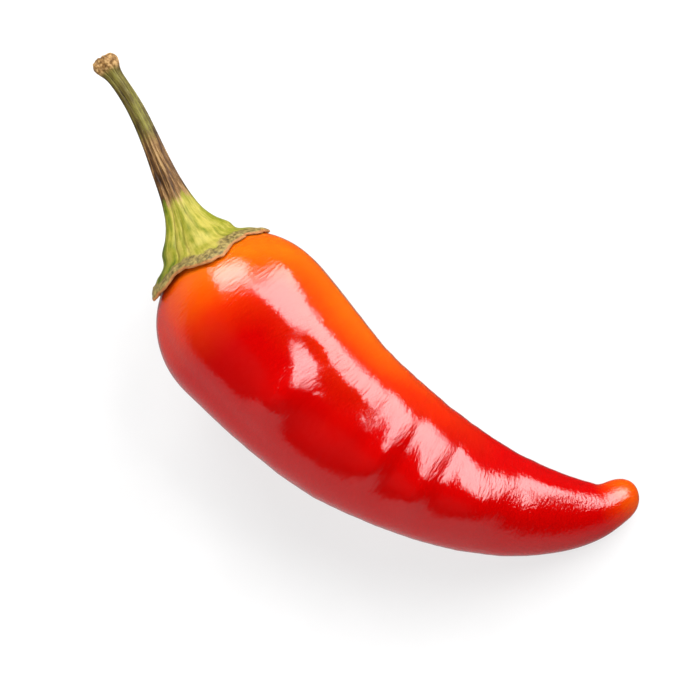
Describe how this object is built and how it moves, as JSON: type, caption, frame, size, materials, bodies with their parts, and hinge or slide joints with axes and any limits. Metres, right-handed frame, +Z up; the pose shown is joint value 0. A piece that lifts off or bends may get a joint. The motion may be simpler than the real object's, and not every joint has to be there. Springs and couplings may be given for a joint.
{
  "type": "chilli pepper",
  "caption": "Short, stout red chilli pepper with a bent tapering pod, a ribbed green calyx and a curved stem, lying on its side as picked.",
  "frame": {"origin": "bottom centre of the box round the whole pepper, on the surface that it lies on", "axes": "+X from the stem's broken end to the pod's tip, +Y towards the inside of the bend, +Z up from the surface"},
  "size_m": [0.0978, 0.0314, 0.0258],
  "materials": {
    "pod_skin": "waxy gloss, red turning orange at the shoulder and the tip",
    "stem_green": "dry matt, ribbed, green at the calyx and brown along the stem"
  },
  "bodies": {
    "root": {"pod": "pod_skin", "stem_and_calyx": "stem_green"}
  },
  "joints": []
}
